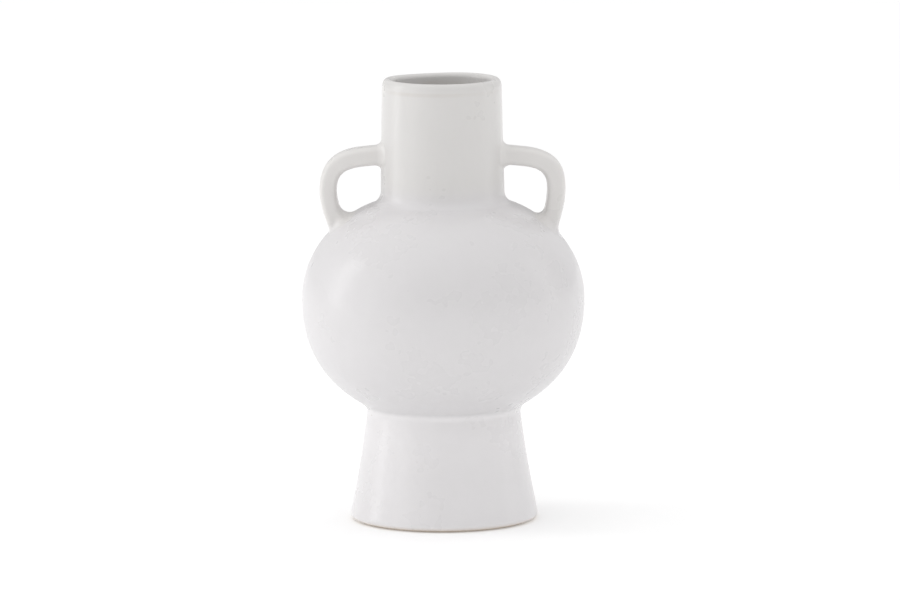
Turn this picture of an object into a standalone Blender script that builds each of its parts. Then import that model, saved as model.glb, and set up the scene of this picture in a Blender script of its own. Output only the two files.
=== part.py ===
"""Ceramic bud vase: a round belly on a flared pedestal foot, with a straight neck and two ear handles.

Metres, +Z up. The origin is on the vase's axis, level with the surface that it stands on, and the
handles lie along X. Each section of clay is a solid of its own. Sections that the potter joins with
slip meet face to face, with a hairline gap, and their inside is one hollow from the mouth to the base.
"""

import math

import bmesh
import bpy
from mathutils import Matrix, Vector
from mathutils.geometry import interpolate_bezier

# Whole vase
HEIGHT = 0.180
WALL = 0.0040
JOINT_GAP = 0.0003
TURN_STEPS = 48

# Neck: its side leans in a little, from the shoulder up to the lip
NECK_RADIUS = 0.02495
NECK_TOP_RADIUS = 0.02415
LIP_HEIGHT = 0.0034
LIP_OUTER_WIDTH = 0.0021

# Belly: two quarters of a soft ball that meet at its widest level
BELLY_RADIUS = 0.05715
BELLY_LEVEL = 0.0900
SHOULDER_PULL = 0.0216
SHOULDER_REACH = 0.0129
SHOULDER_SLOPE = math.radians(20)
UNDERSIDE_PULL = 0.0264
UNDERSIDE_REACH = 0.0100
UNDERSIDE_SLOPE = math.radians(32.5)

# The two creases, where slip rounds the inner corner between sections
COLLAR_CREASE_LEVEL = 0.1342
COLLAR_CREASE_RADIUS = 0.0056
WAIST_CREASE_LEVEL = 0.0438
WAIST_CREASE_RADIUS = 0.0047
CREASE_SPLIT = math.radians(45)

# Pedestal and base
WAIST_RADIUS = 0.03105
PEDESTAL_MIDDLE_RADIUS = 0.0340
FOOT_RADIUS = 0.0379
FOOT_CORNER_RADIUS = 0.0026
GLAZE_LINE = 0.0011
FLOOR_LEVEL = 0.0048
FOOT_RING_WIDTH = 0.0065
FOOT_RING_RECESS = 0.0012

# Handles: a strap of oval section, thicker at both roots
HANDLE_THICKNESS = 0.0072
HANDLE_WIDTH = 0.0135
HANDLE_SIDES_RESOLUTION = 3
HANDLE_CURVE_RESOLUTION = 8

GLAZE_WHITE = (0.80, 0.79, 0.78, 1.0)
BARE_CLAY = (0.55, 0.42, 0.31, 1.0)


def clear_scene():
    for thing in list(bpy.data.objects):
        bpy.data.objects.remove(thing, do_unlink=True)


def new_collection(name):
    collection = bpy.data.collections.new(name)
    bpy.context.scene.collection.children.link(collection)
    return collection


def new_material(name, colour, roughness):
    material = bpy.data.materials.new(name)
    material.use_nodes = True
    shader = material.node_tree.nodes["Principled BSDF"]
    shader.inputs["Base Color"].default_value = colour
    shader.inputs["Roughness"].default_value = roughness
    shader.inputs["Metallic"].default_value = 0.0
    material.diffuse_color = colour
    return material


# Outlines are lists of (radius, level) points. Angles are measured from +radius towards +Z.


def arc(centre, radius, start, end, count, height=None):
    """count + 1 points of a round arc, or of an oval one whose half height is height."""
    rise = radius if height is None else height
    angles = [start + (end - start) * i / count for i in range(count + 1)]
    return [(centre[0] + radius * math.cos(a), centre[1] + rise * math.sin(a)) for a in angles]


def curve(start, start_handle, end_handle, end, count):
    points = interpolate_bezier(
        Vector((*start, 0)), Vector((*start_handle, 0)), Vector((*end_handle, 0)), Vector((*end, 0)), count + 1
    )
    return [(point.x, point.y) for point in points]


def collar_crease_centre():
    return NECK_RADIUS + COLLAR_CREASE_RADIUS, COLLAR_CREASE_LEVEL


def waist_crease_centre():
    return WAIST_RADIUS + WAIST_CREASE_RADIUS, WAIST_CREASE_LEVEL


def collar_crease(start, end, offset, count):
    """Part of the crease under the neck. A negative offset gives the inner face of the wall."""
    return arc(collar_crease_centre(), COLLAR_CREASE_RADIUS - offset, start, end, count)


def waist_crease(start, end, offset, count):
    return arc(waist_crease_centre(), WAIST_CREASE_RADIUS - offset, start, end, count)


def level_angle(crease_radius, drop):
    """The angle at which an arc of this radius lies the given height below or above its centre."""
    return math.asin(drop / crease_radius)


def belly_quarter(crease_end, slope, pull, reach, direction, offset, count):
    """From the end of a crease out to the belly's widest level. direction is 1 above it and -1 below."""
    share = 1 + offset / BELLY_RADIUS
    widest = (BELLY_RADIUS + offset, BELLY_LEVEL)
    reach_point = (
        crease_end[0] + reach * share * math.cos(slope),
        crease_end[1] - direction * reach * share * math.sin(slope),
    )
    pull_point = (widest[0], BELLY_LEVEL + direction * pull * share)
    return curve(crease_end, reach_point, pull_point, widest, count)


def shoulder(split, offset, crease_count, count):
    """From the crease under the neck down to the widest level."""
    crease = collar_crease(math.pi + split, 1.5 * math.pi - SHOULDER_SLOPE, offset, crease_count)
    quarter = belly_quarter(crease[-1], SHOULDER_SLOPE, SHOULDER_PULL, SHOULDER_REACH, 1, offset, count)
    return crease + quarter[1:]


def underside(split, offset, crease_count, count):
    """From the widest level down to the waist crease."""
    crease = waist_crease(math.pi - split, 0.5 * math.pi + UNDERSIDE_SLOPE, offset, crease_count)
    quarter = belly_quarter(crease[-1], UNDERSIDE_SLOPE, UNDERSIDE_PULL, UNDERSIDE_REACH, -1, offset, count)
    return (crease + quarter[1:])[::-1]


def neck_outline():
    """The collar: rolled lip, outer side, half of the crease, joint face, and the bore back up."""
    lip_top = (NECK_TOP_RADIUS - LIP_OUTER_WIDTH, HEIGHT - LIP_HEIGHT)
    outer_lip = arc(lip_top, LIP_OUTER_WIDTH, 0.5 * math.pi, 0, 5, LIP_HEIGHT)
    outer_crease = collar_crease(math.pi, math.pi + CREASE_SPLIT, 0, 3)
    joint_drop = COLLAR_CREASE_RADIUS * math.sin(CREASE_SPLIT)
    inner_split = level_angle(COLLAR_CREASE_RADIUS + WALL, joint_drop)
    inner_crease = collar_crease(math.pi + inner_split, math.pi, -WALL, 2)
    inner_width = WALL - LIP_OUTER_WIDTH
    inner_lip = arc((lip_top[0], HEIGHT - inner_width), inner_width, math.pi, 0.5 * math.pi, 4)
    return outer_lip + outer_crease + inner_crease + inner_lip[:-1]


def belly_outline():
    """The hollow ball, from the joint under the neck to the joint at the waist, and back up inside."""
    collar_drop = COLLAR_CREASE_RADIUS * math.sin(CREASE_SPLIT) + JOINT_GAP
    waist_rise = WAIST_CREASE_RADIUS * math.sin(CREASE_SPLIT) + JOINT_GAP
    outer_top = level_angle(COLLAR_CREASE_RADIUS, collar_drop)
    outer_bottom = level_angle(WAIST_CREASE_RADIUS, waist_rise)
    inner_top = level_angle(COLLAR_CREASE_RADIUS + WALL, collar_drop)
    inner_bottom = level_angle(WAIST_CREASE_RADIUS + WALL, waist_rise)
    outside = shoulder(outer_top, 0, 2, 10) + underside(outer_bottom, 0, 2, 10)[1:]
    inside = shoulder(inner_top, -WALL, 3, 8) + underside(inner_bottom, -WALL, 3, 8)[1:]
    return outside + inside[::-1]


def pedestal_side(offset, count):
    """From the waist down to the foot's corner: one slack curve that flares out."""
    top = (WAIST_RADIUS + offset, WAIST_CREASE_LEVEL)
    bottom = (FOOT_RADIUS + offset, FOOT_CORNER_RADIUS)
    middle = 2 * (PEDESTAL_MIDDLE_RADIUS + offset) - 0.5 * (top[0] + bottom[0])
    control = Vector((middle, 0.5 * (top[1] + bottom[1])))
    top_handle = Vector(top).lerp(control, 2 / 3)
    bottom_handle = Vector(bottom).lerp(control, 2 / 3)
    return curve(top, top_handle, bottom_handle, bottom, count)


def foot_corner(start_level, end_level, count):
    """Part of the rounded bottom corner, between two levels."""
    radius = FOOT_CORNER_RADIUS
    start = level_angle(radius, start_level - radius)
    end = level_angle(radius, end_level - radius)
    return arc((FOOT_RADIUS - radius, radius), radius, start, end, count)


def pedestal_outline():
    """The flared foot, from the joint at the waist to the glaze line, and back up inside."""
    joint_rise = WAIST_CREASE_RADIUS * math.sin(CREASE_SPLIT)
    inner_split = level_angle(WAIST_CREASE_RADIUS + WALL, joint_rise)
    outer_crease = waist_crease(math.pi - CREASE_SPLIT, math.pi, 0, 3)
    inner_crease = waist_crease(math.pi, math.pi - inner_split, -WALL, 2)
    corner = foot_corner(FOOT_CORNER_RADIUS, GLAZE_LINE + JOINT_GAP, 3)
    inner_foot = (FOOT_RADIUS - WALL, GLAZE_LINE + JOINT_GAP)
    inner_side = pedestal_side(-WALL, 4)[::-1]
    outside = outer_crease + pedestal_side(0, 6)[1:] + corner[1:]
    return outside + [inner_foot] + inner_side + inner_crease[1:]


def base_outline():
    """The slab: a plug inside the pedestal, a rim under its wall, and a ring round a shallow recess."""
    plug_radius = FOOT_RADIUS - WALL - JOINT_GAP
    ring_outer = FOOT_RADIUS - FOOT_CORNER_RADIUS
    ring_inner = ring_outer - FOOT_RING_WIDTH
    floor = [(0, FLOOR_LEVEL), (plug_radius - 2 * JOINT_GAP, FLOOR_LEVEL), (plug_radius, FOOT_CORNER_RADIUS)]
    rim = [(plug_radius, GLAZE_LINE)] + foot_corner(GLAZE_LINE, 0, 3)
    recess = arc((ring_inner, 0), FOOT_RING_RECESS, 0, 0.5 * math.pi, 3)
    recess = [(radius - FOOT_RING_RECESS, level) for radius, level in recess]
    return floor + rim + recess + [(0, FOOT_RING_RECESS)]


def envelope_outline(offset):
    """The vase's outer side past the neck, shoulder and belly, moved out by offset, closed at the axis."""
    lip_foot = HEIGHT - LIP_HEIGHT
    neck = [(0, lip_foot), (NECK_TOP_RADIUS + offset, lip_foot)]
    side = shoulder(0, offset, 5, 10)
    return neck + side + [(0, BELLY_LEVEL)]


def turned(name, outline, collection, material=None, closed=True):
    """Turns an outline about the vase's axis. An open one starts and ends on the axis."""
    mesh = bpy.data.meshes.new(name)
    edges = [(i, i + 1) for i in range(len(outline) - 1)]
    if closed:
        edges.append((len(outline) - 1, 0))
    mesh.from_pydata([(radius, 0, level) for radius, level in outline], edges, [])
    thing = bpy.data.objects.new(name, mesh)
    collection.objects.link(thing)
    screw = thing.modifiers.new("turn", "SCREW")
    screw.axis = "Z"
    screw.steps = TURN_STEPS
    screw.render_steps = TURN_STEPS
    screw.use_merge_vertices = True
    screw.merge_threshold = 0.00001
    screw.use_smooth_shade = True
    if material:
        mesh.materials.append(material)
    return thing


def handle_mesh():
    """One handle on the +X side, as a tube along its middle line, buried in the neck and the shoulder."""
    line = bpy.data.curves.new("handle_line", "CURVE")
    line.dimensions = "3D"
    line.resolution_u = HANDLE_CURVE_RESOLUTION
    line.bevel_depth = 0.5 * HANDLE_THICKNESS
    line.bevel_resolution = HANDLE_SIDES_RESOLUTION
    line.use_fill_caps = True
    # Each row: place (x, z), direction of travel (x, z), handle length back and ahead, thickness share.
    knots = [
        ((0.0225, 0.1490), (1.0, -0.04), 0.003, 0.003, 1.14),
        ((0.0332, 0.1482), (1.0, -0.10), 0.003, 0.0084, 1.13),
        ((0.0460, 0.1350), (0.0, -1.0), 0.0080, 0.0060, 1.00),
        ((0.0426, 0.1185), (-0.26, -0.96), 0.0060, 0.003, 1.01),
    ]
    spline = line.splines.new("BEZIER")
    spline.bezier_points.add(len(knots) - 1)
    for point, (place, travel, back, ahead, share) in zip(spline.bezier_points, knots, strict=True):
        centre = Vector((place[0], 0, place[1]))
        direction = Vector((travel[0], 0, travel[1])).normalized()
        point.co = centre
        point.handle_left = centre - back * direction
        point.handle_right = centre + ahead * direction
        point.radius = share
    guide = bpy.data.objects.new("handle_line", line)
    bpy.context.scene.collection.objects.link(guide)
    found = guide.evaluated_get(bpy.context.evaluated_depsgraph_get())
    mesh = bpy.data.meshes.new_from_object(found)
    bpy.data.objects.remove(guide, do_unlink=True)
    welded = bmesh.new()
    welded.from_mesh(mesh)
    bmesh.ops.remove_doubles(welded, verts=welded.verts, dist=0.00001)
    welded.to_mesh(mesh)
    welded.free()
    mesh.transform(Matrix.Scale(HANDLE_WIDTH / HANDLE_THICKNESS, 4, Vector((0, 1, 0))))
    mesh.shade_smooth()
    return mesh


def build_handles(vase, collection, cutters):
    envelope = turned("body_envelope", envelope_outline(JOINT_GAP), cutters, closed=False)
    envelope.hide_render = True
    envelope.display_type = "WIRE"
    for name, turn in (("handle_right", 0.0), ("handle_left", math.pi)):
        mesh = handle_mesh()
        mesh.materials.append(new_material(name, GLAZE_WHITE, 0.38))
        handle = bpy.data.objects.new(name, mesh)
        handle.rotation_euler.z = turn
        handle.parent = vase
        collection.objects.link(handle)
        cut = handle.modifiers.new("seat_on_body", "BOOLEAN")
        cut.operation = "DIFFERENCE"
        cut.solver = "EXACT"
        cut.object = envelope


def build_vase():
    clear_scene()
    collection = new_collection("ceramic_bud_vase")
    cutters = new_collection("cutters")
    vase = bpy.data.objects.new("vase_axis", None)
    collection.objects.link(vase)
    sections = (
        ("neck", neck_outline(), True, GLAZE_WHITE, 0.38),
        ("belly", belly_outline(), True, GLAZE_WHITE, 0.38),
        ("pedestal", pedestal_outline(), True, GLAZE_WHITE, 0.38),
        ("base", base_outline(), False, BARE_CLAY, 0.85),
    )
    for name, outline, closed, colour, roughness in sections:
        material = new_material(name, colour, roughness)
        section = turned(name, outline, collection, material, closed)
        section.parent = vase
    build_handles(vase, collection, cutters)


build_vase()
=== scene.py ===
"""The looks of the ceramic bud vase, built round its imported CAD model.

Metres, +Z up, the vase's axis on Z and its handles along X, as in the CAD. Every CAD node is replaced
by a finer piece of the same outline: the turned sections close their hairline joints, and the handles
grow out of the body in slip fillets. All pieces share one space, so the glaze runs on across them.
"""

import math

import bpy
import numpy as np
from mathutils import Matrix, Vector
from mathutils.geometry import interpolate_bezier


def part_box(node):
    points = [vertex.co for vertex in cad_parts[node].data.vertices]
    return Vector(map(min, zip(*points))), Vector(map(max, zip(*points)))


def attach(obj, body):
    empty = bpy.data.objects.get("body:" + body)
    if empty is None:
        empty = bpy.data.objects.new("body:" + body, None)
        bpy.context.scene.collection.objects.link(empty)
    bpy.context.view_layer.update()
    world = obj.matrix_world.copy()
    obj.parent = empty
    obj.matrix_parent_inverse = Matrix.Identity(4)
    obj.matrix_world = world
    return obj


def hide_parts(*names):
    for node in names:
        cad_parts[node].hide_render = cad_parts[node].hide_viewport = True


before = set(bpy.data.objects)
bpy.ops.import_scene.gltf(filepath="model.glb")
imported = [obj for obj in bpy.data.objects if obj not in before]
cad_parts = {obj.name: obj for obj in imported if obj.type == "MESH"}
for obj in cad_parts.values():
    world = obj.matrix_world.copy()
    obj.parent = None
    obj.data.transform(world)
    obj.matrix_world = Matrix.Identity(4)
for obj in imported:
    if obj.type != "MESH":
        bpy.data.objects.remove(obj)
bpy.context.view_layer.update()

# Sizes that the CAD sets
NECK_LOW, NECK_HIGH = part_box("neck")
_, BELLY_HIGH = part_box("belly")
_, PEDESTAL_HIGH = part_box("pedestal")
_, BASE_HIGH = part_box("base")
HEIGHT = NECK_HIGH.z
BELLY_RADIUS = BELLY_HIGH.x
FOOT_RADIUS = PEDESTAL_HIGH.x
FLOOR_LEVEL = BASE_HIGH.z
COLLAR_JOINT_LEVEL = NECK_LOW.z
WAIST_JOINT_LEVEL = PEDESTAL_HIGH.z

# The rest of the body's outline, as in the CAD
WALL = 0.0040
NECK_RADIUS = 0.02495
NECK_TOP_RADIUS = 0.02415
LIP_HEIGHT = 0.0034
LIP_OUTER_WIDTH = 0.0021
BELLY_LEVEL = 0.0900
SHOULDER_PULL = 0.0216
SHOULDER_REACH = 0.0129
SHOULDER_SLOPE = math.radians(20)
UNDERSIDE_PULL = 0.0264
UNDERSIDE_REACH = 0.0100
UNDERSIDE_SLOPE = math.radians(32.5)
COLLAR_CREASE_LEVEL = 0.1342
COLLAR_CREASE_RADIUS = 0.0056
WAIST_CREASE_LEVEL = 0.0438
WAIST_CREASE_RADIUS = 0.0047
WAIST_RADIUS = 0.03105
PEDESTAL_MIDDLE_RADIUS = 0.0340
FOOT_CORNER_RADIUS = 0.0026
GLAZE_LINE = 0.0011
FOOT_RING_WIDTH = 0.0065
FOOT_RING_RECESS = 0.0012

# Finer detail, which the CAD leaves out
TURN_STEPS = 192
GLAZE_OVERHANG = 0.00025
THROWING_RIB_HEIGHT = 0.00012
TRIMMING_GROOVE_DEPTH = 0.00009
WOBBLE = 0.00010
RIM_DIP = 0.00052
RIM_DIP_REACH = 0.010
RIM_DIP_ANGLE = math.radians(112)
RIM_DIP_SPREAD = math.radians(42)
SHARP_ANGLE = math.radians(38)

# Handles. Each knot: place (x, z), direction of travel (x, z), handle length back and ahead, thickness share.
# The two were pulled by hand, so the right one is a hair stouter at its side than the left one.
HANDLE_THICKNESS = 0.0072
HANDLE_WIDTH = 0.0125
LEFT_KNOTS = (
    ((0.0205, 0.1493), (1.0, -0.05), 0.003, 0.003, 1.06),
    ((0.0332, 0.1482), (1.0, -0.12), 0.003, 0.0086, 1.06),
    ((0.0462, 0.1352), (0.03, -1.0), 0.0080, 0.0060, 0.98),
    ((0.0422, 0.1185), (-0.26, -0.96), 0.0060, 0.003, 0.96),
)
RIGHT_KNOTS = (
    ((0.0205, 0.1491), (1.0, -0.05), 0.003, 0.003, 1.06),
    ((0.0332, 0.1480), (1.0, -0.11), 0.003, 0.0086, 1.04),
    ((0.0459, 0.1350), (0.0, -1.0), 0.0084, 0.0060, 1.04),
    ((0.0426, 0.1185), (-0.26, -0.96), 0.0060, 0.003, 1.01),
)
HANDLE_TAIL = 0.009
HANDLE_SQUARENESS = 4.0
CORNER_PLACE = (0.0462, 0.1432)
CORNER_REACH = 0.0050
LEFT_CORNER = 0.00010
RIGHT_CORNER = 0.00040
HANDLE_SIDES = 64
HANDLE_ROWS = 64
SPAN_POINTS = 80

# Slip fillets at the roots: the angle at which each meets the body, how far it reaches along the handle and
# out on the body, and by how much more it does both inside the handle's loop than outside it
FILLET_ROWS = 12
UPPER_FILLET_END = math.radians(72)
UPPER_FILLET_LENGTH = 0.0030
UPPER_FILLET_HEIGHT = 0.0020
UPPER_FILLET_LEAN = 0.0003
LOWER_FILLET_END = math.radians(86)
LOWER_FILLET_LENGTH = 0.0036
LOWER_FILLET_HEIGHT = 0.0033
LEFT_FILLET_LEAN = 0.0026
RIGHT_FILLET_LEAN = 0.0008

# Rows of a root that lie in the body's wall. Each: share of the fillet's height, added height, and distance
# from the body's outer face. A search along the handle finds where each row lies.
BURIED_ROWS = ((0.4, 0, -0.0014), (1, 0.0007, -0.0009), (1, 0.0004, -0.00025))
ROOT_SHARE = 0.4
SEARCH_STEPS = 36

# Camera
LENS = 320
CAMERA_DISTANCE = 3.243
CAMERA_ELEVATION = math.radians(8.39)
CAMERA_ROLL = math.radians(-0.356)
LOOK_AT = Vector((0, 0, 0.0912))
SHIFT = (0.00764, -0.00488)
CAMERA_REACH = 40

# Glaze colours, from the foot up. The steps between them are painted light and shade: the foot is lighter
# than the belly, its top below the waist lighter still, and the underside and the neck darker
FOOT_GLAZE_PAINTED_LIGHT = (0.799, 0.783, 0.791)
UPPER_FOOT_GLAZE_PAINTED_LIGHT = (0.838, 0.821, 0.829)
# Painted shade under the belly, darker than the belly's glaze
UNDERSIDE_GLAZE_PAINTED_SHADE = (0.690, 0.678, 0.686)
BELLY_GLAZE = (0.745, 0.730, 0.738)
# Painted shade on the neck, darker and warmer than the belly's glaze
NECK_GLAZE_PAINTED_SHADE = (0.720, 0.706, 0.694)
# Painted light on the handles' upper parts, lighter and warmer than the belly's glaze
HANDLE_GLAZE_PAINTED_LIGHT = (0.776, 0.758, 0.743)
VASE_GLAZES_AND_PAINTED_LIGHT = (
    (FOOT_GLAZE_PAINTED_LIGHT, 0, 0),
    (UPPER_FOOT_GLAZE_PAINTED_LIGHT, 0.018, 0.038),
    (UNDERSIDE_GLAZE_PAINTED_SHADE, 0.0450, 0.0474),
    (BELLY_GLAZE, 0.050, 0.080),
    (NECK_GLAZE_PAINTED_SHADE, 0.130, 0.140),
)
HANDLE_GLAZES_AND_PAINTED_LIGHT = ((BELLY_GLAZE, 0, 0), (HANDLE_GLAZE_PAINTED_LIGHT, 0.116, 0.124))
GLAZE_IOR = 1.5

# Colours that lie over the glaze. The thin line under the lip fades in and out between levels given as
# distances below the lip's top; the clay's stain fades out above the glaze's lower edge.
CLOUD_TINT = (0.60, 0.585, 0.57)
MOTTLE_TINT = (0.69, 0.68, 0.67)
LIP_LINE_TINT = (0.66, 0.63, 0.60)
LIP_LINE_FADE_IN = (0.0056, 0.0044)
LIP_LINE_FADE_OUT = (0.0040, 0.0032)
CLAY_STAIN_TINT = (0.68, 0.60, 0.52)
CLAY_STAIN_FADE = (0.0002, 0.0011)
SPECK_COLOUR = (0.33, 0.27, 0.22)

# Bare clay
DARK_CLAY = (0.72, 0.65, 0.575)
PALE_CLAY = (0.80, 0.735, 0.665)
CLAY_GRAIN = (0.64, 0.56, 0.48)
GROG = (0.48, 0.39, 0.31)

# Light. Glows: direction and strength. Strips: name, turn about the vase from the front, towards the right,
# and power in watts
SURROUND = 0.50
SURROUND_GLOWS = (((1, 0, 0), 0.08), ((-1, 0, 0), 0.22), ((0, 0, 1), 0.78))
STRIP_LIGHTS = (
    ("strip_back_left", -155, 0.10),
    ("strip_left", -95, 1.32),
    ("strip_front_left", -60, 0.30),
    ("strip_right", 95, 0.34),
    ("strip_back_right", 140, 0.12),
    ("strip_far_right", 155, 0.14),
)
STRIP_DISTANCE = 0.90
STRIP_LEVEL = 0.36
STRIP_SIZE = (0.24, 0.70)
TABLE_GLOW = 0.14
TABLE_COLOURS = ((0.93, 0.93, 0.93), (0.95, 0.95, 0.95))
TABLE_REACH = 9.0


# Outlines are lists of (radius, level) points. Angles are measured from +radius towards +Z.


def arc(centre, radius, start, end, count, height=None):
    """count + 1 points of a round arc, or of an oval one whose half height is height."""
    rise = radius if height is None else height
    angles = [start + (end - start) * i / count for i in range(count + 1)]
    return [(centre[0] + radius * math.cos(a), centre[1] + rise * math.sin(a)) for a in angles]


def curve(start, start_handle, end_handle, end, count):
    """count + 1 points of a curve with a handle at each end."""
    corners = [Vector((*point, 0)) for point in (start, start_handle, end_handle, end)]
    return [(point.x, point.y) for point in interpolate_bezier(*corners, count + 1)]


def straight(start, end, count):
    shares = [i / count for i in range(count + 1)]
    return [(start[0] + (end[0] - start[0]) * t, start[1] + (end[1] - start[1]) * t) for t in shares]


def chain(*parts):
    """Joins outlines end to end, dropping each point that repeats the last one."""
    joined = list(parts[0])
    for part in parts[1:]:
        joined += part[1:] if math.dist(joined[-1], part[0]) < 1e-7 else part
    return joined


def collar_crease(start, end, offset, count):
    centre = (NECK_RADIUS + COLLAR_CREASE_RADIUS, COLLAR_CREASE_LEVEL)
    return arc(centre, COLLAR_CREASE_RADIUS - offset, start, end, count)


def waist_crease(start, end, offset, count):
    centre = (WAIST_RADIUS + WAIST_CREASE_RADIUS, WAIST_CREASE_LEVEL)
    return arc(centre, WAIST_CREASE_RADIUS - offset, start, end, count)


def level_angle(radius, rise):
    """The angle on a round arc at which it is rise above its centre's level."""
    return math.asin(rise / radius)


def belly_quarter(crease_end, slope, pull, reach, direction, offset, count):
    """From the end of a crease out to the belly's widest level. direction is 1 above it and -1 below."""
    share = 1 + offset / BELLY_RADIUS
    widest = (BELLY_RADIUS + offset, BELLY_LEVEL)
    reach_point = (
        crease_end[0] + reach * share * math.cos(slope),
        crease_end[1] - direction * reach * share * math.sin(slope),
    )
    pull_point = (widest[0], BELLY_LEVEL + direction * pull * share)
    return curve(crease_end, reach_point, pull_point, widest, count)


def shoulder(split, offset, crease_count, count):
    crease = collar_crease(math.pi + split, 1.5 * math.pi - SHOULDER_SLOPE, offset, crease_count)
    quarter = belly_quarter(crease[-1], SHOULDER_SLOPE, SHOULDER_PULL, SHOULDER_REACH, 1, offset, count)
    return chain(crease, quarter)


def underside(split, offset, crease_count, count):
    crease = waist_crease(math.pi - split, 0.5 * math.pi + UNDERSIDE_SLOPE, offset, crease_count)
    quarter = belly_quarter(crease[-1], UNDERSIDE_SLOPE, UNDERSIDE_PULL, UNDERSIDE_REACH, -1, offset, count)
    return chain(crease, quarter)[::-1]


def collar_split(offset):
    return level_angle(COLLAR_CREASE_RADIUS - offset, COLLAR_CREASE_LEVEL - COLLAR_JOINT_LEVEL)


def waist_split(offset):
    return level_angle(WAIST_CREASE_RADIUS - offset, WAIST_JOINT_LEVEL - WAIST_CREASE_LEVEL)


def neck_side():
    """The neck's outer face, from the lip's foot down to the crease."""
    return straight((NECK_TOP_RADIUS, HEIGHT - LIP_HEIGHT), (NECK_RADIUS, COLLAR_CREASE_LEVEL), 48)


def neck_outline():
    lip_centre = (NECK_TOP_RADIUS - LIP_OUTER_WIDTH, HEIGHT - LIP_HEIGHT)
    outer_lip = arc(lip_centre, LIP_OUTER_WIDTH, 0.5 * math.pi, 0, 18, LIP_HEIGHT)
    inner_width = WALL - LIP_OUTER_WIDTH
    inner_lip = arc((lip_centre[0], HEIGHT - inner_width), inner_width, math.pi, 0.5 * math.pi, 12)
    outer_crease = collar_crease(math.pi, math.pi + collar_split(0), 0, 20)
    inner_crease = collar_crease(math.pi + collar_split(-WALL), math.pi, -WALL, 12)
    joint = straight(outer_crease[-1], inner_crease[0], 2)
    bore = straight(inner_crease[-1], inner_lip[0], 40)
    return chain(outer_lip, neck_side(), outer_crease, joint, inner_crease, bore, inner_lip)[:-1]


def belly_outline():
    outside = chain(shoulder(collar_split(0), 0, 14, 60), underside(waist_split(0), 0, 14, 60))
    inside = chain(shoulder(collar_split(-WALL), -WALL, 10, 48), underside(waist_split(-WALL), -WALL, 10, 48))
    bottom_joint = straight(outside[-1], inside[-1], 2)
    top_joint = straight(inside[0], outside[0], 2)
    return chain(outside, bottom_joint, inside[::-1], top_joint)[:-1]


def pedestal_side(offset, count):
    """From the waist down to the foot's corner: one slack curve that flares out."""
    top = (WAIST_RADIUS + offset, WAIST_CREASE_LEVEL)
    bottom = (FOOT_RADIUS + offset, FOOT_CORNER_RADIUS)
    middle = 2 * (PEDESTAL_MIDDLE_RADIUS + offset) - 0.5 * (top[0] + bottom[0])
    control = Vector((middle, 0.5 * (top[1] + bottom[1])))
    return curve(top, Vector(top).lerp(control, 2 / 3), Vector(bottom).lerp(control, 2 / 3), bottom, count)


def foot_corner(start_level, end_level, inset, count):
    """Part of the rounded bottom corner, between two levels, moved in by inset."""
    radius = FOOT_CORNER_RADIUS
    start = level_angle(radius, start_level - radius)
    end = level_angle(radius, end_level - radius)
    return arc((FOOT_RADIUS - radius - inset, radius), radius, start, end, count)


def pedestal_outline():
    """The glaze ends in a small roll just above the bare clay."""
    outer_crease = waist_crease(math.pi - waist_split(0), math.pi, 0, 18)
    inner_crease = waist_crease(math.pi, math.pi - waist_split(-WALL), -WALL, 10)
    corner = foot_corner(FOOT_CORNER_RADIUS, GLAZE_LINE + GLAZE_OVERHANG, 0, 10)
    roll_centre = (corner[-1][0] - GLAZE_OVERHANG, corner[-1][1])
    roll = arc(roll_centre, GLAZE_OVERHANG, 0, -0.5 * math.pi, 5)
    inner_side = pedestal_side(-WALL, 30)[::-1]
    inner_foot = (FOOT_RADIUS - WALL, roll[-1][1])
    joint = straight(inner_crease[-1], outer_crease[0], 2)
    foot = straight(roll[-1], inner_foot, 2)
    outside = chain(outer_crease, pedestal_side(0, 48), corner, roll, foot)
    return chain(outside, straight(inner_foot, inner_side[0], 3), inner_side, inner_crease, joint)[:-1]


def ribbed(start, end, count, period, depth):
    """A nearly level run of an outline with the shallow ribs that a finger or a trimming tool leaves."""
    run = straight(start, end, count)
    return [(r, z + depth * math.cos(2 * math.pi * r / period)) for r, z in run]


def base_outline():
    plug_radius = FOOT_RADIUS - WALL
    ring_outer = FOOT_RADIUS - FOOT_CORNER_RADIUS
    ring_inner = ring_outer - FOOT_RING_WIDTH
    inside = ribbed(
        (0, FLOOR_LEVEL - THROWING_RIB_HEIGHT), (plug_radius, FLOOR_LEVEL - THROWING_RIB_HEIGHT),
        90, 0.0046, THROWING_RIB_HEIGHT,
    )
    plug = straight(inside[-1], (plug_radius, GLAZE_LINE), 3)
    corner = foot_corner(GLAZE_LINE, 0, GLAZE_OVERHANG, 8)
    rim = straight(plug[-1], corner[0], 4)
    ring = straight(corner[-1], (ring_inner, 0), 8)
    cove = arc((ring_inner - FOOT_RING_RECESS, 0), FOOT_RING_RECESS, 0, 0.5 * math.pi, 8)
    recess_level = FOOT_RING_RECESS + TRIMMING_GROOVE_DEPTH
    recess = ribbed(cove[-1], (0, recess_level), 90, 0.0031, TRIMMING_GROOVE_DEPTH)
    return chain(inside, plug, rim, ring, cove, recess)


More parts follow.
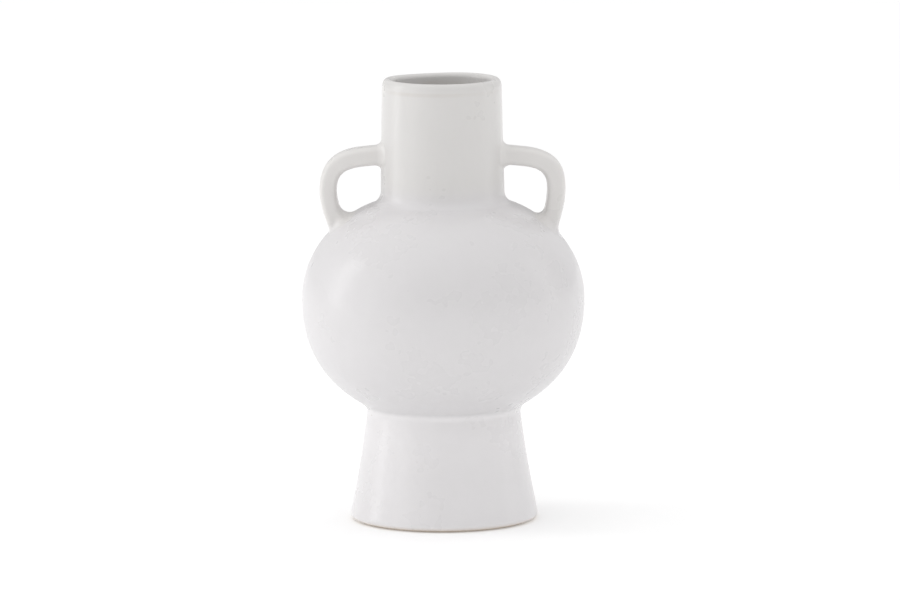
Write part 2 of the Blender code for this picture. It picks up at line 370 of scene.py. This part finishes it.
def hand_thrown(points):
    """Moves points in or out by a hair and dips the rim at the back, as a wheel and a hand do. It is one rule
    for all pieces. Each wave's share, turns and phase are chosen."""
    turn = np.arctan2(points[:, 1], points[:, 0])
    rise = points[:, 2] / HEIGHT
    oval = np.sin(2 * turn + 0.6 + 2.1 * rise)
    lobes = 0.5 * np.sin(3 * turn - 1.1 + 5.0 * rise)
    waves = 0.3 * np.sin(2 * math.pi * 4.3 * rise + turn)
    radius = np.hypot(points[:, 0], points[:, 1])
    share = 1 + WOBBLE * (oval + lobes + waves) / np.maximum(radius, NECK_RADIUS)
    moved = points.copy()
    moved[:, 0] *= share
    moved[:, 1] *= share
    near_rim = np.clip(1 - (HEIGHT - points[:, 2]) / RIM_DIP_REACH, 0, 1)
    near_dip = np.exp(-(((turn - RIM_DIP_ANGLE) / RIM_DIP_SPREAD) ** 2))
    moved[:, 2] -= RIM_DIP * near_rim * near_dip
    return moved


def new_piece(name, points, faces):
    mesh = bpy.data.meshes.new(name)
    mesh.from_pydata(hand_thrown(np.array(points, float)).tolist(), [], faces)
    mesh.validate()
    mesh.shade_smooth()
    mesh.set_sharp_from_angle(angle=SHARP_ANGLE)
    piece = bpy.data.objects.new(name, mesh)
    bpy.context.scene.collection.objects.link(piece)
    return piece


def turned(name, outline, closed=True):
    """Turns an outline about the axis. Going down its outer side gives faces that point out.
    An open outline starts and ends on the axis."""
    angles = [2 * math.pi * i / TURN_STEPS for i in range(TURN_STEPS)]
    points = []
    rings = []
    for radius, level in outline:
        if radius < 1e-7:
            rings.append([len(points)] * TURN_STEPS)
            points.append((0, 0, level))
            continue
        rings.append([len(points) + i for i in range(TURN_STEPS)])
        points += [(radius * math.cos(a), radius * math.sin(a), level) for a in angles]
    pairs = list(zip(rings, rings[1:]))
    if closed:
        pairs.append((rings[-1], rings[0]))
    faces = []
    for upper, lower in pairs:
        for i in range(TURN_STEPS):
            j = (i + 1) % TURN_STEPS
            corners = (upper[i], lower[i], lower[j], upper[j])
            faces.append(tuple(dict.fromkeys(corners)))
    return new_piece(name, points, faces)


# Handles


class Spine:
    """A handle's middle line in the XZ plane, with its half thickness, by distance along it."""

    def __init__(self, knots, corner):
        self.corner = corner
        places = []
        shares = []
        for first, second in zip(knots, knots[1:]):
            start, end = Vector((*first[0], 0)), Vector((*second[0], 0))
            ahead = start + first[3] * Vector((*first[1], 0)).normalized()
            back = end - second[2] * Vector((*second[1], 0)).normalized()
            span = [(p.x, p.y) for p in interpolate_bezier(start, ahead, back, end, SPAN_POINTS)]
            eased = [0.5 - 0.5 * math.cos(math.pi * i / (SPAN_POINTS - 1)) for i in range(SPAN_POINTS)]
            skip = 1 if places else 0
            places += span[skip:]
            shares += [first[4] + (second[4] - first[4]) * t for t in eased][skip:]
        last = Vector(knots[-1][1]).normalized() * HANDLE_TAIL
        places.append((places[-1][0] + last.x, places[-1][1] + last.y))
        shares.append(shares[-1])
        self.places = np.array(places)
        steps = np.linalg.norm(np.diff(self.places, axis=0), axis=1)
        self.along = np.concatenate([[0], np.cumsum(steps)])
        self.shares = np.array(shares)
        travel = np.gradient(self.places, self.along, axis=0)
        travel /= np.linalg.norm(travel, axis=1)[:, None]
        self.outward = np.column_stack([-travel[:, 1], travel[:, 0]])
        self.length = self.along[-1]

    def surface(self, along, turns, lift):
        """Points on the handle's skin, moved out by lift. turns are angles round the section, 0 outermost."""
        centre = np.column_stack([np.interp(along, self.along, self.places[:, i]) for i in (0, 1)])
        outward = np.column_stack([np.interp(along, self.along, self.outward[:, i]) for i in (0, 1)])
        share = np.interp(along, self.along, self.shares)
        thick = 0.5 * HANDLE_THICKNESS * share
        wide = 0.5 * HANDLE_WIDTH * share
        cosine, sine = np.cos(turns), np.sin(turns)
        size = np.abs(cosine) ** HANDLE_SQUARENESS + np.abs(sine) ** HANDLE_SQUARENESS
        outwards, sideways = (part / size ** (1 / HANDLE_SQUARENESS) for part in (cosine, sine))
        normal = np.column_stack([
            np.sign(part) * np.abs(part) ** (HANDLE_SQUARENESS - 1) / half
            for part, half in ((outwards, thick), (sideways, wide))
        ])
        normal /= np.linalg.norm(normal, axis=1)[:, None]
        near_corner = np.exp(-(np.linalg.norm(centre - CORNER_PLACE, axis=1) / CORNER_REACH) ** 2)
        bulge = self.corner * near_corner * (cosine > 0)
        in_plane = (thick + bulge) * outwards + lift * normal[:, 0]
        across = wide * sideways + lift * normal[:, 1]
        places = centre + in_plane[:, None] * outward
        return np.column_stack([places[:, 0], across, places[:, 1]])


class BodySkin:
    """The body's outer face from lip to belly, for its distance from points near it."""

    def __init__(self):
        line = np.array(chain(neck_side(), shoulder(0, 0, 80, 400)))
        self.start = line[:-1]
        self.step = np.diff(line, axis=0)
        self.size = np.sum(self.step**2, axis=1)

    def distance(self, points):
        """Distance out from the face, negative inside the wall."""
        flat = np.column_stack([np.hypot(points[:, 0], points[:, 1]), points[:, 2]])
        offset = flat[:, None, :] - self.start[None]
        share = np.clip(np.sum(offset * self.step, axis=2) / self.size, 0, 1)
        gap = offset - share[..., None] * self.step
        length = np.linalg.norm(gap, axis=2)
        nearest = np.argmin(length, axis=1)
        rows = np.arange(len(flat))
        step = self.step[nearest]
        offset = offset[rows, nearest]
        side = step[:, 0] * offset[:, 1] - step[:, 1] * offset[:, 0]
        return np.sign(side) * length[rows, nearest]


def root_rows(spine, skin, turns, length, height, end, near, far):
    """Rows of a handle's root, from inside the wall, up its slip fillet, to where the plain handle starts.
    Each is a distance along the handle for every side of it, and a lift off its skin. length and height are
    the fillet's, end the angle at which it meets the body, where a right angle is smooth. near and far are
    distances along the handle, inside the wall and clear of it."""
    sweep = np.linspace(end, 0, FILLET_ROWS + 1)
    rows = [(share * height + more, depth) for share, more, depth in BURIED_ROWS]
    rise = [(1 - math.cos(a)) / (1 - math.cos(end)) for a in sweep]
    depth_left = [1 - math.sin(a) / math.sin(end) for a in sweep]
    rows += [(height * up, length * left) for up, left in zip(rise, depth_left)]
    found = []
    for lift, depth in rows:
        inside = np.full(len(turns), near)
        outside = np.full(len(turns), far)
        for _ in range(SEARCH_STEPS):
            middle = 0.5 * (inside + outside)
            deep = skin.distance(spine.surface(middle, turns, lift)) < depth
            inside = np.where(deep, middle, inside)
            outside = np.where(deep, outside, middle)
        found.append((inside, lift))
    return found


def build_handle(name, spine, skin, direction, lean):
    """direction is 1 for the handle on +X and -1 for the one on -X. lean is its lower fillet's."""
    turns = np.linspace(0, 2 * math.pi, HANDLE_SIDES, endpoint=False)
    inward = -np.cos(turns)
    upper_length = UPPER_FILLET_LENGTH + UPPER_FILLET_LEAN * inward
    upper_height = np.full(HANDLE_SIDES, UPPER_FILLET_HEIGHT)
    lower_length = LOWER_FILLET_LENGTH + lean * inward
    lower_height = LOWER_FILLET_HEIGHT + lean * inward
    upper_far = ROOT_SHARE * spine.length
    lower_far = (1 - ROOT_SHARE) * spine.length
    upper = root_rows(spine, skin, turns, upper_length, upper_height, UPPER_FILLET_END, 0, upper_far)
    lower = root_rows(
        spine, skin, turns, lower_length, lower_height, LOWER_FILLET_END, spine.length, lower_far
    )
    start, end = upper[-1][0], lower[-1][0]
    shares = [i / HANDLE_ROWS for i in range(1, HANDLE_ROWS)]
    middle = [(start + (end - start) * t, np.zeros(HANDLE_SIDES)) for t in shares]
    rings = [spine.surface(along, turns, lift) for along, lift in [*upper, *middle, *lower[::-1]]]
    points = [tuple(p) for ring in rings for p in ring]
    count = HANDLE_SIDES
    faces = []
    for row in range(len(rings) - 1):
        for i in range(count):
            j = (i + 1) % count
            faces.append((row * count + i, row * count + j, (row + 1) * count + j, (row + 1) * count + i))
    for ring, first, order in ((rings[0], 0, 1), (rings[-1], (len(rings) - 1) * count, -1)):
        points.append(tuple(ring.mean(axis=0)))
        hub = len(points) - 1
        for i in range(count):
            faces.append((hub, first + (i + 1) % count, first + i)[::order])
    points = [(direction * x, direction * y, z) for x, y, z in points]
    return new_piece(name, points, faces)


# Materials


class Shader:
    """A material's node tree, with short ways to add and join nodes."""

    def __init__(self, name):
        self.material = bpy.data.materials.new(name)
        self.material.use_nodes = True
        self.nodes = self.material.node_tree.nodes
        self.links = self.material.node_tree.links
        self.principled = self.nodes["Principled BSDF"]
        coordinates = self.nodes.new("ShaderNodeTexCoord")
        self.place = coordinates.outputs["Object"]

    def join(self, source, target):
        self.links.new(source, target)

    def noise(self, scale, detail, roughness=0.5):
        node = self.nodes.new("ShaderNodeTexNoise")
        node.inputs["Scale"].default_value = scale
        node.inputs["Detail"].default_value = detail
        node.inputs["Roughness"].default_value = roughness
        self.join(self.place, node.inputs["Vector"])
        return node.outputs["Fac"]

    def cells(self, scale):
        """Distance from the nearest of many scattered points."""
        node = self.nodes.new("ShaderNodeTexVoronoi")
        node.inputs["Scale"].default_value = scale
        self.join(self.place, node.inputs["Vector"])
        return node.outputs["Distance"]

    def level(self):
        node = self.nodes.new("ShaderNodeSeparateXYZ")
        self.join(self.place, node.inputs["Vector"])
        return node.outputs["Z"]

    def ramp(self, value, start, end, low=0.0, high=1.0):
        """Maps value from start..end to low..high, smoothly and held past both ends."""
        node = self.nodes.new("ShaderNodeMapRange")
        node.interpolation_type = "SMOOTHSTEP"
        self.join(value, node.inputs["Value"])
        for socket, number in (("From Min", start), ("From Max", end), ("To Min", low), ("To Max", high)):
            node.inputs[socket].default_value = number
        return node.outputs["Result"]

    def maths(self, operation, first, second):
        node = self.nodes.new("ShaderNodeMath")
        node.operation = operation
        self.join(first, node.inputs[0])
        self.join(second, node.inputs[1])
        return node.outputs["Value"]

    def blend(self, share, first, second):
        """A colour between first and second. Each is a colour or a socket."""
        node = self.nodes.new("ShaderNodeMix")
        node.data_type = "RGBA"
        self.join(share, node.inputs["Factor"])
        for socket, value in ((node.inputs[6], first), (node.inputs[7], second)):
            if isinstance(value, tuple):
                socket.default_value = (*value, 1.0)
            else:
                self.join(value, socket)
        return node.outputs[2]

    def bump(self, height, distance, strength=1.0, below=None):
        node = self.nodes.new("ShaderNodeBump")
        node.inputs["Distance"].default_value = distance
        node.inputs["Strength"].default_value = strength
        self.join(height, node.inputs["Height"])
        if below:
            self.join(below, node.inputs["Normal"])
        return node.outputs["Normal"]


def white_glaze(name, glazes_and_painted_light):
    """Satin white glaze: faint clouding, a warmer, darker line under the lip, pinholes and specks.
    Its colours come from the foot up, each with the levels at which it starts and is full; their steps paint
    light and shade."""
    shader = Shader(name)
    clouds = shader.noise(38, 3, 0.55)
    mottle = shader.noise(190, 1, 0.5)
    level = shader.level()
    # Colour steps by level, which paint light and shade
    colour = glazes_and_painted_light[0][0]
    for glaze, start, full in glazes_and_painted_light[1:]:
        colour = shader.blend(shader.ramp(level, start, full), colour, glaze)
    colour = shader.blend(shader.ramp(clouds, 0.35, 0.68, 0.06, 0.0), colour, CLOUD_TINT)
    colour = shader.blend(shader.ramp(mottle, 0.45, 0.75, 0.0, 0.03), colour, MOTTLE_TINT)
    fade_in = [HEIGHT - distance for distance in LIP_LINE_FADE_IN]
    fade_out = [HEIGHT - distance for distance in LIP_LINE_FADE_OUT]
    above = shader.ramp(level, *fade_in)
    lip_line = shader.maths("MULTIPLY", above, shader.ramp(level, *fade_out, 1.0, 0.0))
    patches = shader.ramp(shader.noise(55, 2), 0.40, 0.65, 0.15, 0.60)
    colour = shader.blend(shader.maths("MULTIPLY", lip_line, patches), colour, LIP_LINE_TINT)
    stain_levels = [GLAZE_LINE + distance for distance in CLAY_STAIN_FADE]
    colour = shader.blend(shader.ramp(level, *stain_levels, 0.40, 0.0), colour, CLAY_STAIN_TINT)
    specks = shader.ramp(shader.cells(150), 0.03, 0.05, 1.0, 0.0)
    rare = shader.ramp(shader.noise(61, 0), 0.74, 0.76)
    colour = shader.blend(shader.maths("MULTIPLY", specks, rare), colour, SPECK_COLOUR)
    shader.join(colour, shader.principled.inputs["Base Color"])
    broad = shader.ramp(clouds, 0.3, 0.7, 0.25, 0.32)
    fine = shader.ramp(shader.noise(240, 1), 0.3, 0.7, 0.0, 0.02)
    shader.join(shader.maths("ADD", broad, fine), shader.principled.inputs["Roughness"])
    pinholes = shader.maths("MULTIPLY", shader.ramp(shader.cells(110), 0.04, 0.07, -1.0, 0.0), rare)
    waves = shader.bump(shader.noise(85, 2), 0.00035)
    shader.join(shader.bump(pinholes, 0.00003, 0.4, waves), shader.principled.inputs["Normal"])
    shader.principled.inputs["IOR"].default_value = GLAZE_IOR
    return shader.material


def bare_clay():
    """Unglazed pale buff stoneware: grainy and matt, with darker grog."""
    shader = Shader("bare_clay")
    grain = shader.noise(1500, 3, 0.6)
    clouds = shader.noise(70, 3)
    colour = shader.blend(shader.ramp(clouds, 0.3, 0.7), DARK_CLAY, PALE_CLAY)
    colour = shader.blend(shader.ramp(grain, 0.45, 0.7, 0.0, 0.6), colour, CLAY_GRAIN)
    bits = shader.ramp(shader.cells(900), 0.12, 0.2, 1.0, 0.0)
    patches = shader.ramp(clouds, 0.4, 0.6)
    colour = shader.blend(shader.maths("MULTIPLY", bits, patches), colour, GROG)
    shader.join(colour, shader.principled.inputs["Base Color"])
    shader.join(shader.ramp(grain, 0.3, 0.7, 0.78, 0.95), shader.principled.inputs["Roughness"])
    shader.join(shader.bump(grain, 0.00012), shader.principled.inputs["Normal"])
    return shader.material


def floor_surface():
    """Matt white studio table, faintly uneven, which glows a little as if it were lit from below."""
    shader = Shader("studio_floor")
    colour = shader.blend(shader.noise(9, 2), *TABLE_COLOURS)
    shader.join(colour, shader.principled.inputs["Base Color"])
    shader.principled.inputs["Roughness"].default_value = 0.9
    shader.principled.inputs["Specular IOR Level"].default_value = 0.2
    shader.principled.inputs["Emission Color"].default_value = (1, 1, 1, 1)
    shader.principled.inputs["Emission Strength"].default_value = TABLE_GLOW
    return shader.material


# Studio


def build_floor():
    mesh = bpy.data.meshes.new("floor")
    reach = TABLE_REACH
    corners = [(-reach, -reach, 0), (reach, -reach, 0), (reach, reach, 0), (-reach, reach, 0)]
    mesh.from_pydata(corners, [], [(0, 1, 2, 3)])
    mesh.materials.append(floor_surface())
    floor = bpy.data.objects.new("floor", mesh)
    bpy.context.scene.collection.objects.link(floor)


def add_softbox(name, place, width, height, power):
    light = bpy.data.lights.new(name, "AREA")
    light.shape = "RECTANGLE"
    light.size = width
    light.size_y = height
    light.energy = power
    lamp = bpy.data.objects.new(name, light)
    lamp.visible_camera = False
    lamp.location = place
    aim = LOOK_AT - Vector(place)
    lamp.rotation_mode = "QUATERNION"
    lamp.rotation_quaternion = aim.to_track_quat("-Z", "Y")
    bpy.context.scene.collection.objects.link(lamp)


def build_world():
    """A soft white surround that is brighter overhead and on the left than on the right and in front.
    Each glow adds the square of how far a direction faces it."""
    world = bpy.data.worlds.new("studio")
    world.use_nodes = True
    nodes, links = world.node_tree.nodes, world.node_tree.links
    heading = nodes.new("ShaderNodeTexCoord").outputs["Generated"]
    total = None
    for direction, strength in SURROUND_GLOWS:
        facing = nodes.new("ShaderNodeVectorMath")
        facing.operation = "DOT_PRODUCT"
        facing.inputs[1].default_value = direction
        links.new(heading, facing.inputs[0])
        ahead = nodes.new("ShaderNodeMath")
        ahead.operation = "MAXIMUM"
        ahead.inputs[1].default_value = 0
        links.new(facing.outputs["Value"], ahead.inputs[0])
        squared = nodes.new("ShaderNodeMath")
        squared.operation = "MULTIPLY"
        links.new(ahead.outputs[0], squared.inputs[0])
        links.new(ahead.outputs[0], squared.inputs[1])
        added = nodes.new("ShaderNodeMath")
        added.operation = "MULTIPLY_ADD"
        added.inputs[1].default_value = strength
        added.inputs[2].default_value = SURROUND
        links.new(squared.outputs[0], added.inputs[0])
        if total is not None:
            links.new(total, added.inputs[2])
        total = added.outputs[0]
    background = nodes["Background"]
    background.inputs["Color"].default_value = (1.0, 1.0, 1.0, 1.0)
    links.new(total, background.inputs["Strength"])
    bpy.context.scene.world = world


def build_lights():
    for name, turn, power in STRIP_LIGHTS:
        angle = math.radians(turn)
        place = (STRIP_DISTANCE * math.sin(angle), -STRIP_DISTANCE * math.cos(angle), STRIP_LEVEL)
        add_softbox(name, place, *STRIP_SIZE, power)
    build_world()


def build_camera():
    data = bpy.data.cameras.new("camera")
    data.lens = LENS
    data.shift_x, data.shift_y = SHIFT
    data.clip_end = CAMERA_REACH
    camera = bpy.data.objects.new("camera", data)
    back = Vector((0, -math.cos(CAMERA_ELEVATION), math.sin(CAMERA_ELEVATION)))
    turn = (-back).to_track_quat("-Z", "Y").to_matrix().to_4x4()
    place = Matrix.Translation(LOOK_AT + CAMERA_DISTANCE * back)
    camera.matrix_world = place @ turn @ Matrix.Rotation(CAMERA_ROLL, 4, "Z")
    bpy.context.scene.collection.objects.link(camera)
    bpy.context.scene.camera = camera
    bpy.context.scene.view_settings.view_transform = "Standard"


def finish_piece(piece, node, slot, *materials):
    """Gives a piece its materials, hangs it from the root, and hides the CAD node that it stands for."""
    for material in materials:
        piece.data.materials.append(material)
    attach(piece, "root")
    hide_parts(node)


def glaze_inner_floor(base):
    """The base's upper face, seen down the neck, takes the glaze, its second material."""
    for face in base.data.polygons:
        face.material_index = 1 if face.center.z > GLAZE_LINE + GLAZE_OVERHANG else 0


def build_vase():
    # The colour steps by level in both glazes paint light and shade: a lighter foot and handles, a darker
    # underside and neck
    glaze = white_glaze("white_glaze", VASE_GLAZES_AND_PAINTED_LIGHT)
    handle_glaze_and_painted_light = white_glaze("white_glaze_handles_painted_light", HANDLE_GLAZES_AND_PAINTED_LIGHT)
    clay = bare_clay()
    finish_piece(turned("neck_glazed", neck_outline()), "neck", "white_glaze", glaze)
    finish_piece(turned("belly_glazed", belly_outline()), "belly", "white_glaze", glaze)
    finish_piece(turned("pedestal_glazed", pedestal_outline()), "pedestal", "white_glaze", glaze)
    base = turned("base_clay", base_outline(), closed=False)
    finish_piece(base, "base", "bare_clay", clay, glaze)
    glaze_inner_floor(base)
    skin = BodySkin()
    sides = (
        ("right", 1, RIGHT_KNOTS, RIGHT_CORNER, RIGHT_FILLET_LEAN),
        ("left", -1, LEFT_KNOTS, LEFT_CORNER, LEFT_FILLET_LEAN),
    )
    for side, direction, knots, corner, lean in sides:
        handle = build_handle(f"handle_{side}_glazed", Spine(knots, corner), skin, direction, lean)
        finish_piece(handle, f"handle_{side}", "white_glaze", handle_glaze_and_painted_light)


build_vase()
build_floor()
build_lights()
build_camera()
